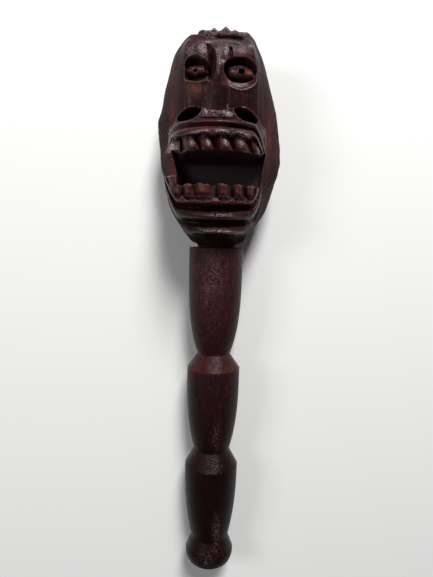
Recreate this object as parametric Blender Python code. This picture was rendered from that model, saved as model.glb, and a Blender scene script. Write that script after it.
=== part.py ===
# A short ceremonial staff of dark varnished hardwood, lying on its back: a carved
# grotesque head with an open, toothed mouth, on a turned handle of three tapering
# sections and a foot knob. Metres, +Z up, the face up, the head towards +Y.

import math

import bmesh
import bpy
import numpy as np

# Head
HEAD_HEIGHT = 0.1658         # from the shaft's flat top to the highest tuft
NECK_RADIUS = 0.0154         # where the neck stands on the shaft
SEAT_GAP = 0.0003            # the dark seam between neck and shaft
BACK_FLAT_DEPTH = 0.0014     # worn flat on the back of the mane, deeper than its grooves

# Turned shaft, from its flat top down to the foot
TOP_RIM_RADIUS = 0.0225
TOP_RIM_ROUND = 0.0006
TOP_SECTION_LENGTH = 0.0909
FIRST_WAIST_RADIUS = 0.0138
FIRST_CHAMFER_LENGTH = 0.0122
FIRST_SHOULDER_RADIUS = 0.0226
MIDDLE_SECTION_LENGTH = 0.0735
SECOND_WAIST_RADIUS = 0.0152
SECOND_CHAMFER_LENGTH = 0.0136
SECOND_SHOULDER_RADIUS = 0.0230
LOWER_SECTION_LENGTH = 0.0676
THIRD_WAIST_RADIUS = 0.0162
KNOB_CHAMFER_LENGTH = 0.0125
KNOB_RADIUS = 0.0211
KNOB_ROLL_LENGTH = 0.0082    # from the knob's widest place down to the foot's edge
KNOB_EDGE_RADIUS = 0.0194
FOOT_ROUND_LENGTH = 0.0037
FOOT_RADIUS = 0.0060
KNOB_FLAT_DEPTH = 0.0004     # small flat that keeps the knob from rolling
TAPER_BOWS = (4.0, 3.0, 2.4)    # how late each section tapers: 1 is an even cone
TAPER_START = 0.35           # share of a section's length above which it barely tapers
KNOB_BOW = 2.4
FOOT_FULLNESS = 0.6          # 1 rounds the foot as an ellipse, less is squarer

# Fineness of the faceted solids
SHAFT_SIDES = 40
TAPER_STEPS = 6
KNOB_STEPS = 3
HEAD_ROWS = 250
HEAD_COLUMNS = 220
HEAD_TRIANGLES = 7400
FRONT_SHARE = 0.70           # share of the columns that lie on the carved front
CROWN_SHARE = 0.15           # share of the rows that close the crown

# The carving is laid out in parts: the head is this many parts high.
PARTS_HIGH = 165.8
PART = HEAD_HEIGHT / PARTS_HIGH

# Outline seen from the front, in parts: height above the seat, half width.
LEFT_OUTLINE = ((2, 16), (6, 20.6), (16, 28.4), (31, 37), (51, 42.2), (62, 46), (78, 47.6),
                (98, 49.4), (108, 47), (128, 43.2), (146, 38.6), (152, 37), (161, 31))
RIGHT_OUTLINE = ((2, 16), (6, 23.2), (16, 30.5), (31, 40), (51, 45.9), (62, 49.5), (72, 50.1),
                 (90, 48.5), (109, 45.3), (128, 40.2), (146, 35), (152, 32.8), (161, 28.6))
# Depths at the middle of the front and back, and of the side edges.
FRONT_DEPTH = ((0, 15), (8, 19), (20, 25), (40, 29), (70, 31), (100, 32), (125, 32.5),
               (143, 32.4), (150, 31.6), (154, 30.4), (157.5, 28.4), (161, 28.4))
BACK_HEIGHT = 97             # where the back bulges most, and the staff lies on it
BACK_BULGE = 36.2
BACK_DEPTH = ((0, 15), (14, 24), (40, 32.5), (70, 35.4), (BACK_HEIGHT, BACK_BULGE), (122, 35),
              (145, 31), (161, 26))
SIDE_DEPTH = ((0, 0), (60, 4), (100, 6), (161, 3))
CROWN_START = 161.0          # height at which the crown closes over
CROWN_TOP = 163.6            # its plain top, below the tufts
PANEL_HALF = 27.0            # half width of the flat front of the face
PANEL_BOW = 2.2              # how far that front falls back towards its edges
FACE_CENTRE = -1.2           # the face sits a little left of the staff's axis


def ramp(low, high, value):
    """Smooth step from 0 at low to 1 at high."""
    share = np.clip((value - low) / (high - low), 0.0, 1.0)
    return share * share * (3.0 - 2.0 * share)


def hill(value, centre, width):
    """Round hill of height 1."""
    return np.exp(-((value - centre) / width) ** 2)


def dome(value, half):
    """Half circle of height 1 over -half to half."""
    return np.sqrt(np.clip(1.0 - (value / half) ** 2, 0.0, 1.0))


def curve(points, at):
    """Smooth line through (place, value) points that does not overshoot them."""
    place, value = np.array(points, float).T
    gap = np.diff(place)
    rise = np.diff(value) / gap
    product = rise[1:] * rise[:-1]
    total = rise[1:] + rise[:-1]
    inner = np.where(product > 0.0, 2.0 * product / np.where(total == 0.0, 1.0, total), 0.0)
    slope = np.concatenate(([rise[0]], inner, [rise[-1]]))
    at = np.clip(at, place[0], place[-1])
    i = np.clip(np.searchsorted(place, at) - 1, 0, len(gap) - 1)
    t = (at - place[i]) / gap[i]
    return ((1 + 2 * t) * (1 - t) ** 2 * value[i] + t * (1 - t) ** 2 * gap[i] * slope[i]
            + t * t * (3 - 2 * t) * value[i + 1] + t * t * (t - 1) * gap[i] * slope[i + 1])


# Face

# Each block: place across, place up, half width, half height, bulge.
LEFT_BROW = (-16.0, 145.0, 8.0, 5.6, 3.4)
RIGHT_BROW = (15.5, 145.2, 8.5, 4.6, 1.8)
LEFT_BROW_EDGE = ((-27.0, 136.6), (-25.6, 139.4), (-23.0, 141.5), (-18.6, 141.8), (-11.8, 139.6),
                  (-8.3, 137.0))
NOSE_ROOT_MIDDLE = 1.6
# The wedge cut beside the nose root: its steep wall, its rim and its depth at each height.
CUT_WALL = ((128.0, -8.6), (136.0, -8.4), (141.0, -8.8), (146.0, -9.7), (151.6, -10.4))
CUT_RIM = ((128.0, -4.4), (132.0, -3.4), (138.3, -3.0), (144.6, -4.2), (149.0, -6.4), (151.6, -9.6))
CUT_DEPTH = ((124.0, 0.0), (130.0, 5.0), (138.0, 6.6), (144.0, 5.2), (148.0, 3.4), (152.0, 0.4))
NOTCH = (7.7, 144.9, 1.35, 4.0, 3.8)    # across, up, half width, half height, depth
HAIR_GROOVE = 157.7
HAIR_GROOVE_DEPTH = 3.4
LEFT_EYE = {
    "bottom": ((-26.5, 126.2), (-18.0, 124.8), (-9.0, 126.4)),
    "left": -26.4, "right": -7.6, "depth": 11.5, "bulge": 8.4, "lid_bulge": 2.2,
    "lid": ((-28.6, 133.4), (-25.0, 136.0), (-20.2, 138.0), (-15.9, 138.2), (-11.6, 136.8), (-7.4, 133.4)),
    "lower": ((-28.6, 132.6), (-24.0, 130.6), (-18.5, 129.2), (-13.0, 130.4), (-7.4, 132.6)),
    "iris": (-18.9, 132.9), "iris_radius": 3.3, "pupil_radius": 1.7, "pupil_depth": 2.6,
}
RIGHT_EYE = {
    "centre": (14.9, 133.2), "half": (12.6, 8.8), "depth": 12.0, "bulge": 9.4, "lid_bulge": 1.0,
    "bevel_centre": (15.6, 131.2), "bevel_half": (12.6, 11.6), "bevel_depth": 2.6,
    "lid": ((3.2, 132.2), (7.6, 136.6), (12.0, 138.2), (15.7, 138.9), (19.6, 138.0), (23.6, 134.9),
            (28.4, 129.8)),
    "lower": ((3.2, 131.4), (8.0, 128.6), (12.0, 127.4), (16.0, 127.0), (20.4, 127.4), (24.5, 128.4),
              (28.4, 129.4)),
    "iris": (15.9, 132.9), "iris_radius": 3.7, "pupil_radius": 2.5, "pupil_depth": 6.0,
}


def face_panel(x, y):
    """The flat front of the face and the slanted planes that run back to the side edges."""
    half = np.where(x < 0.0, curve(LEFT_OUTLINE, y), curve(RIGHT_OUTLINE, y))
    panel = np.minimum(PANEL_HALF, 0.7 * half)
    across = np.clip(np.abs(x) / panel, 0.0, 1.0)
    front = curve(FRONT_DEPTH, y) - PANEL_BOW * across ** 2
    side = curve(SIDE_DEPTH, y)
    back = np.clip((np.abs(x) - panel) / (half - panel), 0.0, 1.0)
    return side + (front - side) * (1.0 - back ** 1.25) ** 0.8


def forehead(x, y, z):
    """Brow blocks, the nose root between them, the cuts beside it and the groove below the hair."""
    for middle_x, middle_y, wide, high, bulge in (LEFT_BROW, RIGHT_BROW):
        z = z + bulge * hill(x, middle_x, wide) * hill(y, middle_y, high)
    root = ramp(9.0, 4.0, np.abs(x - NOSE_ROOT_MIDDLE)) * ramp(128.0, 138.0, y) * ramp(153.0, 147.0, y)
    z = z + 1.6 * root
    rim = 154.0 - 0.010 * (x - 2.0) ** 2
    z = z + 1.0 * hill(y, rim, 2.0) * ramp(26.0, 18.0, np.abs(x - 2.0))

    wall = curve(CUT_WALL, y)
    edge = curve(CUT_RIM, y)
    slope = np.clip((edge - x) / (edge - wall), 0.0, 1.0)
    z = z - curve(CUT_DEPTH, y) * slope ** 0.8 * ramp(wall - 0.9, wall + 0.1, x)
    across, up, wide, high, deep = NOTCH
    beside = np.abs(x - across - 0.10 * (up - y)) / wide
    z = z - deep * ramp(1.3, 0.4, beside) * ramp(1.1, 0.8, np.abs(y - up) / high)

    deep = 0.4 + HAIR_GROOVE_DEPTH * ramp(-7.0, 0.0, x)
    ends = ramp(-29.0, -22.0, x) * ramp(18.5, 14.0, x)
    return z - deep * hill(y, HAIR_GROOVE - 0.002 * x * x, 0.95) * ends


def nose_bridge(x, y, z):
    """A soft ridge from between the eyes to the nose tip, with a shallow flute on each side."""
    middle = curve(((100, -1.8), (116, -2.4), (138, 0.2)), y)
    height = curve(((100, 1.0), (116, 1.4), (128, 2.2), (140, 0.0)), y)
    z = z + height * hill(x, middle, 6.5)
    fade = ramp(102.0, 110.0, y) * ramp(132.0, 122.0, y)
    z = z - 1.0 * hill(x, middle - 7.6, 2.2) * fade
    return z - 0.8 * hill(x, middle + 8.0, 2.0) * fade


def cheeks(x, y, z):
    """Full cheeks below the sockets, inside the slightly raised edges of the face's front."""
    for middle in (-19.0, 19.0):
        z = z + 1.0 * hill(x, middle, 6.5) * hill(y, 113.0, 10.0)
    edge = 26.0 + 2.6 * ramp(0.0, 4.0, x)
    return z + 0.6 * hill(np.abs(x), edge, 0.9) * ramp(100.0, 106.0, y) * ramp(146.0, 140.0, y)


def eyeball(x, y, z, eye, inside):
    """Almond eyeball between the lines of its lids, with a raised iris and a drilled pupil."""
    lid = curve(eye["lid"], x)
    lower = curve(eye["lower"], x)
    first = eye["lid"][0][0]
    last = eye["lid"][-1][0]
    ends = (ramp(first, first + 6.0, x) * ramp(last, last - 6.0, x)) ** 0.7
    middle = 0.5 * (lid + lower)
    half = np.maximum(0.5 * (lid - lower), 0.3)
    ball = np.clip(1.0 - np.abs((y - middle) / half) ** 2.2, 0.0, 1.0) ** 0.65
    z = z + eye["bulge"] * ball * ends * inside
    z = z + eye["lid_bulge"] * hill(y, lid - 0.6, 0.9) * ends * inside
    radius = np.hypot(x - eye["iris"][0], y - eye["iris"][1])
    z = z + 0.6 * ramp(eye["iris_radius"] + 0.5, eye["iris_radius"] - 0.5, radius) * inside
    pupil = ramp(eye["pupil_radius"] + 0.3, eye["pupil_radius"] - 0.6, radius)
    return z - eye["pupil_depth"] * pupil * inside


def left_socket(x, y, z):
    """Square socket under the edge of the left brow."""
    top = curve(LEFT_BROW_EDGE, x)
    bottom = curve(LEFT_EYE["bottom"], x)
    inside = ramp(top + 0.2, top - 1.0, y) * ramp(bottom - 0.9, bottom + 1.4, y)
    inside = inside * ramp(LEFT_EYE["left"] - 1.0, LEFT_EYE["left"] + 1.8, x)
    inside = inside * ramp(LEFT_EYE["right"] + 1.6, LEFT_EYE["right"] - 1.4, x)
    deep = LEFT_EYE["depth"] * (0.62 + 0.38 * ramp(bottom, bottom + 9.0, y))
    z = z - deep * inside
    z = z + 0.8 * hill(y, bottom - 1.2, 1.1) * ramp(-27.0, -24.0, x) * ramp(-8.0, -11.0, x)
    return eyeball(x, y, z, LEFT_EYE, inside)


def right_socket(x, y, z):
    """Oval socket with a broad bevel round its lower side."""
    across = (x - RIGHT_EYE["centre"][0]) / RIGHT_EYE["half"][0]
    up = (y - RIGHT_EYE["centre"][1]) / RIGHT_EYE["half"][1]
    away = (np.abs(across) ** 2.2 + np.abs(up) ** 2.2) ** (1 / 2.2)
    lower = ramp(0.3, -0.9, up)
    inside = ramp(1.03, 0.90 - 0.16 * lower, away)
    beside = (x - RIGHT_EYE["bevel_centre"][0]) / RIGHT_EYE["bevel_half"][0]
    below = (y - RIGHT_EYE["bevel_centre"][1]) / RIGHT_EYE["bevel_half"][1]
    bevel = ramp(1.04, 0.72, np.hypot(beside, below)) * ramp(0.2, -0.3, below)
    z = z - RIGHT_EYE["bevel_depth"] * bevel * (1.0 - inside)
    z = z - (RIGHT_EYE["depth"] - 3.4 * lower) * inside
    return eyeball(x, y, z, RIGHT_EYE, inside)


# Muzzle

JAW_HALF = 39.0
JAW_FOOT = 14.0
UPPER_TEETH = ((-20.6, 5.9), (-8.9, 4.9), (4.6, 4.9), (16.8, 5.3), (29.0, 4.6))
LOWER_TEETH = ((-33.2, 5.6), (-21.6, 4.4), (-11.0, 7.2), (4.6, 4.9), (15.9, 4.6), (25.6, 4.4))
UPPER_TOOTH = 52.6           # how far the upper teeth reach forward, and the gum between them
UPPER_GUM = 46.0
LOWER_TOOTH = 45.0
LOWER_GUM = 37.0
UPPER_LEAN = 0.30            # how far the teeth lean to the left for each part up
LOWER_LEAN = 0.16
NOSTRIL_WING = 46.0
NOSTRIL_DEPTH = 17.0
NOSTRIL = (20.6, 97.0, 8.6, 4.1, 0.26)      # across, up, half width, half height, drop outwards
NOSE_TIP = 52.6
NOSTRIL_ARCH = ((0, 98.6), (5, 98.9), (9, 100.2), (14, 102.0), (19.5, 102.9), (25, 101.3),
                (30, 97.2), (34, 91.0))
UPPER_REACH = ((81.0, 54.8), (82.2, 56.4), (84.6, 57.4), (86.4, 55.6), (87.6, 50.5), (88.7, 54.4),
               (90.4, 56.4), (92.4, 54.9), (93.4, 53.2))
BAND_TOP = 93.4
LOWER_REACH = ((3.0, 15.0), (6.5, 18.0), (9.0, 26.0), (11.2, 36.6), (13.0, 39.2), (15.4, 39.0),
               (17.4, 36.0), (19.2, 34.0), (20.8, 38.5), (22.4, 45.0), (24.8, 47.2), (27.0, 46.0),
               (28.8, 41.4), (30.2, 39.0), (31.6, 42.5), (33.2, 49.4), (35.2, 51.8), (37.4, 50.4))
MOUTH_TOP = 71.2
MOUTH_BOTTOM = 48.6
MOUTH_BACK = 12.0
TOOTH_ROUND = 0.9            # 1 rounds a tooth as half a circle, less is flatter
LIP_DROOP = (2.2, 12.0)      # how far the upper lip bends down at its left and right ends


def jaw_plan(across, reach, half):
    """Plan of a jaw: a half ellipse from the middle of the lips back to the cheek."""
    plan = JAW_FOOT + (reach - JAW_FOOT) * dome(across, half)
    return np.where(np.abs(across) < half, plan, -JAW_FOOT)


def tooth_row(x, teeth):
    """1 on the middle of each tooth, 0 in the gaps between."""
    row = np.zeros_like(x)
    for middle, half in teeth:
        row = np.maximum(row, dome(x - middle, half))
    return row


def nose_and_upper_lip(x, y, z):
    """Flared nostrils over two lip bands that wrap the muzzle, and the upper teeth."""
    plain = z
    across = x - FACE_CENTRE
    far = np.abs(across)
    left_end = np.clip((-across - 24.0) / 10.0, 0.0, 1.5)
    right_end = np.clip((across - 25.0) / 10.0, 0.0, 1.5)
    level = y + LIP_DROOP[0] * left_end ** 2 + LIP_DROOP[1] * right_end ** 2
    arch = curve(NOSTRIL_ARCH, far)
    flare = ramp(arch + 4.5, arch - 0.2, y)
    wing = jaw_plan(across, NOSTRIL_WING, JAW_HALF)
    z = z + np.maximum(wing - z, 0.0) * flare ** 2.0

    # The groove between the two bands is finer on the left
    thin_cut = 3.2 * ramp(14.0, 4.0, x) * hill(level, 87.6, 0.9)
    lip = jaw_plan(across, curve(UPPER_REACH, level) + thin_cut, JAW_HALF)
    rim = jaw_plan(across, NOSE_TIP + 3.0 * dome(far, 14.0), JAW_HALF)
    under_arch = ramp(arch + 0.5, arch - 0.7, y)
    body = np.where(level > BAND_TOP, rim, lip)
    body = body + (rim - body) * ramp(BAND_TOP - 1.4, BAND_TOP + 1.2, level)
    z = z + (np.maximum(body, z) - z) * under_arch
    z = z + 1.0 * hill(y, arch - 0.4, 0.55) * ramp(4.0, 10.0, far) * ramp(34.0, 30.0, far)

    middle_x, middle_y, wide, high, drop = NOSTRIL
    beside = np.abs(far - middle_x) / wide
    above = np.abs(y - middle_y + drop * (far - middle_x)) / high
    z = z - NOSTRIL_DEPTH * ramp(1.08, 0.88, (beside ** 1.9 + above ** 1.9) ** (1 / 1.9))

    row = tooth_row(x + UPPER_LEAN * (y - 76.0), UPPER_TEETH)
    scallop = 80.4 + 2.4 * row * ramp(-20.0, -10.0, x) + 1.4 * ramp(-10.0, -20.0, x)
    edge = hill(level, scallop + 0.7, 0.7) * ramp(-28.0, -22.0, x) * ramp(34.0, 30.0, far)
    z = z + 0.7 * edge * under_arch
    below_lip = ramp(scallop + 0.5, scallop - 0.5, level)
    tooth_face = UPPER_TOOTH + 1.2 * hill(level, 76.0, 3.4) - 2.0 * ramp(74.0, 71.0, y)
    gum = jaw_plan(across, UPPER_GUM, JAW_HALF)
    tooth = jaw_plan(across, tooth_face, JAW_HALF)
    teeth = gum + (tooth - gum) * row ** TOOTH_ROUND
    z = z + (np.maximum(np.minimum(teeth, z), plain) - z) * below_lip

    # The first tooth is a plain facet that stands out at the left corner of the mouth
    top = np.minimum(71.6 + 1.5 * (x + 41.0), 80.6)
    facet = 34.6 + 0.62 * (x + 35.0) - 0.15 * (y - 75.0)
    first = ramp(-41.6, -40.9, x) * ramp(-28.3, -28.9, x) * ramp(0.5, -0.4, y - top)
    z = z + (np.maximum(facet, plain) - z) * first
    z = z - 3.0 * hill(y, top + 0.9, 0.8) * ramp(-41.0, -39.0, x) * ramp(-27.0, -30.0, x)
    z = z - 3.5 * hill(x, -27.9, 0.7) * ramp(82.0, 80.0, y)

    z = plain + (z - plain) * ramp(MOUTH_TOP - 1.0, MOUTH_TOP, y)
    outer_ridge = hill(across, 37.0, 1.0) * ramp(64.0, 72.0, y) * ramp(90.0, 84.0, y)
    inner_ridge = hill(across, 34.0 + 0.10 * (y - 74.0), 0.8) * ramp(66.0, 70.0, y) * ramp(80.0, 77.0, y)
    return z + 2.2 * outer_ridge + 1.6 * inner_ridge


def lower_jaw(x, y, z):
    """Lower teeth inside a lip, a roll and a chin that turn up at the sides like nested bows."""
    middle = curve(((13, -1.5), (37, -2.2), (53, -4.0)), y)
    across = x - middle
    far = np.abs(across)
    level = y - 0.0022 * far ** 2 - 18.0 * (np.clip(far - 27.0, 0.0, None) / 10.5) ** 2
    half = curve(((4, 22), (13, 28), (24, 35), (36, 38.6), (54, 39.5)), y)
    row = tooth_row(x + LOWER_LEAN * (y - 42.0), LOWER_TEETH)
    lip_edge = 37.8 - 3.2 * row

    rolls = jaw_plan(across, curve(LOWER_REACH, level), half)
    tooth_face = LOWER_TOOTH + 4.0 * ramp(36.0, 42.0, y)
    gum = jaw_plan(across, LOWER_GUM, half)
    tooth = jaw_plan(across, tooth_face, half)
    teeth = gum + (tooth - gum) * row
    in_mouth = ramp(lip_edge - 0.4, lip_edge + 0.5, level)
    jaw = rolls + (teeth - rolls) * in_mouth
    jaw = jaw + 0.8 * hill(level, lip_edge - 0.7, 0.6) * ramp(33.0, 30.0, far)
    jaw = jaw - 2.0 * hill(across, 0.3, 0.6) * hill(level, 25.0, 2.0)
    below = ramp(57.0, 54.0, y)
    return z + (np.maximum(jaw, z) - z) * below


def mouth(x, y, z):
    """The open mouth between the jaws: a roof that slopes to a plain back wall."""
    left = curve(((46, -30.0), (56, -31.0), (72, -34.8)), y)
    right = curve(((46, 32.0), (52, 33.2), (72, 35.2)), y)
    row_above = tooth_row(x, UPPER_TEETH)
    row_below = tooth_row(x, LOWER_TEETH)
    top = MOUTH_TOP + 1.0 - 1.2 * row_above
    bottom = MOUTH_BOTTOM - 1.3 + 1.3 * row_below
    open_here = ramp(top + 0.4, top - 0.4, y) * ramp(bottom - 0.5, bottom + 0.5, y)
    open_here = open_here * ramp(left - 1.2, left + 1.0, x) * ramp(right + 1.2, right - 1.0, x)
    roof = 44.0 * ramp(62.0, 73.5, y) ** 1.3
    floor = MOUTH_BACK + roof * ramp(36.0, 24.0, np.abs(x))
    return z + (np.minimum(floor, z) - z) * open_here


def front_depth(x, y):
    """Depth of the carved front at each place of the face."""
    z = face_panel(x, y)
    z = forehead(x, y, z)
    z = nose_bridge(x, y, z)
    z = cheeks(x, y, z)
    z = left_socket(x, y, z)
    z = right_socket(x, y, z)
    z = nose_and_upper_lip(x, y, z)
    z = lower_jaw(x, y, z)
    return mouth(x, y, z)


# Mane and crown

# Tufts along the front of the crown: place across, half width, height above its edge.
TUFTS = ((-14.4, 4.4, 0.9), (-10.0, 2.6, 0.6), (-5.5, 3.2, 2.4), (3.4, 4.6, 3.6), (10.5, 2.8, 1.2),
         (19.8, 4.0, 0.3))
LEFT_DIP = (-19.2, 1.7, 1.3)     # the gap between the crown and its leftmost tuft
LEFT_DROP = 2.0
LOCKS = 17                       # locks of hair round the back
LOCK_DEPTH = 1.2


def tuft_height(x):
    """Ragged tufts along the front of the crown."""
    height = np.zeros_like(x)
    for middle, half, tall in TUFTS:
        share = np.clip(1.0 - np.abs(x - middle) / half, 0.0, 1.0)
        height = np.maximum(height, tall * share ** 1.25)
    middle, half, deep = LEFT_DIP
    return height - LEFT_DROP * ramp(-16.4, -19.0, x) - deep * hill(x, middle, half)


def wrap_round(around, y):
    """Points of the head's front, sides and back at each height, before the hair and the crown."""
    left = curve(LEFT_OUTLINE, y)
    right = curve(RIGHT_OUTLINE, y)
    side = curve(SIDE_DEPTH, y)
    neck = NECK_RADIUS / PART
    stem = ramp(5.0, 1.0, y)
    left = left + (neck - left) * stem
    right = right + (neck - right) * stem

    t = (around - 0.5) / (0.5 * FRONT_SHARE)
    is_front = np.abs(t) <= 1.0
    spread = np.clip(t, -1.0, 1.0)
    spread = 1.30 * spread - 0.30 * spread ** 3
    front_x = np.where(spread < 0.0, left, right) * spread
    round_front = side + (curve(FRONT_DEPTH, y) - side) * dome(np.abs(spread), 1.0)
    front_z = front_depth(front_x, y)
    front_z = front_z + (round_front - front_z) * stem

    turn = np.clip((np.abs(t) - 1.0) / (1.0 / FRONT_SHARE - 1.0), 0.0, 1.0) * 0.5 * math.pi
    half = np.where(t < 0.0, left, right)
    fullness = 0.875 + 0.125 * stem         # 1 is a plain ellipse, less is squarer
    back_x = np.sign(t) * half * np.cos(turn) ** fullness
    back_z = side - (curve(BACK_DEPTH, y) + side) * np.sin(turn) ** fullness
    bearing = np.where(is_front, 0.0, np.sign(t) * turn)
    return np.where(is_front, front_x, back_x), np.where(is_front, front_z, back_z), bearing


def head_form(around, along):
    """Points of the head for 0 to 1 around it, from the back's middle, and 0 to 1 up it."""
    side_share = 1.0 - CROWN_SHARE
    seat = SEAT_GAP / PART
    y = seat + (CROWN_START - seat) * np.clip(along / side_share, 0.0, 1.0)
    x, z, bearing = wrap_round(around, y)

    # Locks of hair round the back and the side edges
    wave = bearing * LOCKS / math.pi * 2.0 + 0.5 * np.sin(y / 21.0) * np.sign(bearing)
    lock = np.abs(np.sin(0.5 * math.pi * wave)) ** 0.6 - 1.0
    mane = ramp(0.04, 0.25, np.abs(bearing)) * ramp(10.0, 26.0, y)
    push = LOCK_DEPTH * lock * mane
    reach = np.hypot(x, z) + 1e-6
    x = x + push * x / reach
    z = z + push * z / reach

    # The crown closes over in shrinking rings
    close = np.clip((along - side_share) / CROWN_SHARE, 0.0, 1.0)
    shrink = 1.0 - close ** 1.15
    x = x * shrink
    z = z * shrink
    crown = (CROWN_TOP - CROWN_START) * (1.0 - shrink ** 3) ** (1.0 / 3)
    front = ramp(159.4, CROWN_START, y) * ramp(2.0, 14.0, z)
    tuft = tuft_height(x / np.maximum(shrink, 0.3)) * front * ramp(0.6, 0.0, close)
    return np.stack((x, y + crown + tuft, z), axis=-1) * PART


def make_head(material):
    """The carved head as one closed solid, standing on its neck, before it is laid down."""
    sheet = bmesh.new()
    bmesh.ops.create_grid(sheet, x_segments=HEAD_COLUMNS, y_segments=HEAD_ROWS, size=0.5)
    place = np.array([vert.co[:2] for vert in sheet.verts]) + 0.5
    points = head_form(place[:, 0], place[:, 1])
    for vert, point in zip(sheet.verts, points):
        vert.co = point
    bmesh.ops.remove_doubles(sheet, verts=sheet.verts[:], dist=1e-6)
    bmesh.ops.holes_fill(sheet, edges=[edge for edge in sheet.edges if edge.is_boundary], sides=0)
    bmesh.ops.triangulate(sheet, faces=sheet.faces[:])
    bmesh.ops.recalc_face_normals(sheet, faces=sheet.faces[:])
    mesh = bpy.data.meshes.new("carved_head")
    sheet.to_mesh(mesh)
    sheet.free()
    head = bpy.data.objects.new("carved_head", mesh)
    bpy.context.scene.collection.objects.link(head)
    thin = head.modifiers.new("fewer faces", "DECIMATE")
    thin.ratio = HEAD_TRIANGLES / len(mesh.polygons)
    mesh.materials.append(material)
    return head


def shaft_profile():
    """Half outline of the turned shaft as (height, radius), from the flat top down."""
    sections = (
        (TOP_RIM_RADIUS, TOP_SECTION_LENGTH, FIRST_WAIST_RADIUS, FIRST_CHAMFER_LENGTH),
        (FIRST_SHOULDER_RADIUS, MIDDLE_SECTION_LENGTH, SECOND_WAIST_RADIUS, SECOND_CHAMFER_LENGTH),
        (SECOND_SHOULDER_RADIUS, LOWER_SECTION_LENGTH, THIRD_WAIST_RADIUS, KNOB_CHAMFER_LENGTH),
    )
    outline = [(0.0, TOP_RIM_RADIUS - TOP_RIM_ROUND), (-TOP_RIM_ROUND, TOP_RIM_RADIUS)]
    height = 0.0
    for (wide, length, narrow, chamfer), bow in zip(sections, TAPER_BOWS):
        if height < 0.0:
            outline.append((height, wide))
        for step in range(1, TAPER_STEPS + 1):
            share = TAPER_START + (1.0 - TAPER_START) * step / TAPER_STEPS
            outline.append((height - length * share, wide - (wide - narrow) * share ** bow))
        height -= length + chamfer
    for step in range(KNOB_STEPS + 1):
        share = step / KNOB_STEPS
        radius = KNOB_RADIUS - (KNOB_RADIUS - KNOB_EDGE_RADIUS) * share ** KNOB_BOW
        outline.append((height - KNOB_ROLL_LENGTH * share, radius))
    height -= KNOB_ROLL_LENGTH
    for step in range(1, KNOB_STEPS + 2):
        turn = 0.5 * math.pi * step / (KNOB_STEPS + 1)
        radius = FOOT_RADIUS + (KNOB_EDGE_RADIUS - FOOT_RADIUS) * math.cos(turn) ** FOOT_FULLNESS
        outline.append((height - FOOT_ROUND_LENGTH * math.sin(turn), radius))
    return outline


def make_shaft(material):
    """The handle, turned in one piece."""
    lathe = bmesh.new()
    outline = shaft_profile()
    top = lathe.verts.new((0.0, outline[0][0], 0.0))
    rim = [lathe.verts.new((radius, height, 0.0)) for height, radius in outline]
    foot = lathe.verts.new((0.0, outline[-1][0], 0.0))
    line = [top] + rim + [foot]
    edges = [lathe.edges.new(pair) for pair in zip(line, line[1:])]
    bmesh.ops.spin(lathe, geom=line + edges, cent=(0, 0, 0), axis=(0, 1, 0), angle=2 * math.pi,
                   steps=SHAFT_SIDES, use_merge=True)
    bmesh.ops.remove_doubles(lathe, verts=lathe.verts[:], dist=1e-6)
    bmesh.ops.recalc_face_normals(lathe, faces=lathe.faces[:])
    mesh = bpy.data.meshes.new("turned_shaft")
    lathe.to_mesh(mesh)
    lathe.free()
    mesh.shade_smooth()
    mesh.set_sharp_from_angle(angle=math.radians(30))
    mesh.materials.append(material)
    shaft = bpy.data.objects.new("turned_shaft", mesh)
    bpy.context.scene.collection.objects.link(shaft)
    return shaft


def wood(name, colour, roughness):
    """Varnished hardwood of one colour."""
    material = bpy.data.materials.new(name)
    material.use_nodes = True
    shader = material.node_tree.nodes["Principled BSDF"]
    shader.inputs["Base Color"].default_value = (*colour, 1.0)
    shader.inputs["Roughness"].default_value = roughness
    shader.inputs["Metallic"].default_value = 0.0
    return material


def settle(piece, point, normal):
    """Cut a flat spot on a piece along the plane that it lies on, with any groove left open in it."""
    bpy.context.view_layer.update()
    finished = piece.evaluated_get(bpy.context.evaluated_depsgraph_get())
    block = bmesh.new()
    block.from_mesh(finished.to_mesh())
    whole = block.verts[:] + block.edges[:] + block.faces[:]
    bmesh.ops.bisect_plane(block, geom=whole, plane_co=point, plane_no=normal, clear_outer=True)
    bmesh.ops.triangle_fill(block, edges=[edge for edge in block.edges if edge.is_boundary])
    bmesh.ops.triangulate(block, faces=block.faces[:])
    bmesh.ops.recalc_face_normals(block, faces=block.faces[:])
    piece.modifiers.clear()
    block.to_mesh(piece.data)
    block.free()


def lay_down(pieces):
    """Tilt the staff on to its two flat spots and centre it over the origin."""
    knob_height = -(TOP_SECTION_LENGTH + FIRST_CHAMFER_LENGTH + MIDDLE_SECTION_LENGTH
                    + SECOND_CHAMFER_LENGTH + LOWER_SECTION_LENGTH + KNOB_CHAMFER_LENGTH)
    knob_low = -(KNOB_RADIUS - KNOB_FLAT_DEPTH)
    back_height = BACK_HEIGHT * PART
    back_low = -(BACK_BULGE * PART - BACK_FLAT_DEPTH)
    tilt = math.atan2(knob_low - back_low, back_height - knob_height)
    floor_point = (0.0, back_height, back_low)
    floor_normal = (0.0, -math.sin(tilt), -math.cos(tilt))
    for piece in pieces:
        settle(piece, floor_point, floor_normal)

    staff = bpy.data.objects.new("staff_axis", None)
    bpy.context.scene.collection.objects.link(staff)
    staff.rotation_euler = (tilt, 0.0, 0.0)
    for piece in pieces:
        piece.parent = staff
    bpy.context.view_layer.update()
    corners = np.array([piece.matrix_world @ vert.co for piece in pieces for vert in piece.data.vertices])
    low = corners.min(axis=0)
    high = corners.max(axis=0)
    staff.location = (-0.5 * (low[0] + high[0]), -0.5 * (low[1] + high[1]), -low[2])
    bpy.context.view_layer.update()


def build():
    """Make both pieces and lay the staff down."""
    for thing in list(bpy.data.objects):
        bpy.data.objects.remove(thing, do_unlink=True)
    head = make_head(wood("carved head wood", (0.045, 0.018, 0.016), 0.30))
    shaft = make_shaft(wood("turned shaft wood", (0.070, 0.021, 0.015), 0.42))
    lay_down([head, shaft])


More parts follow.
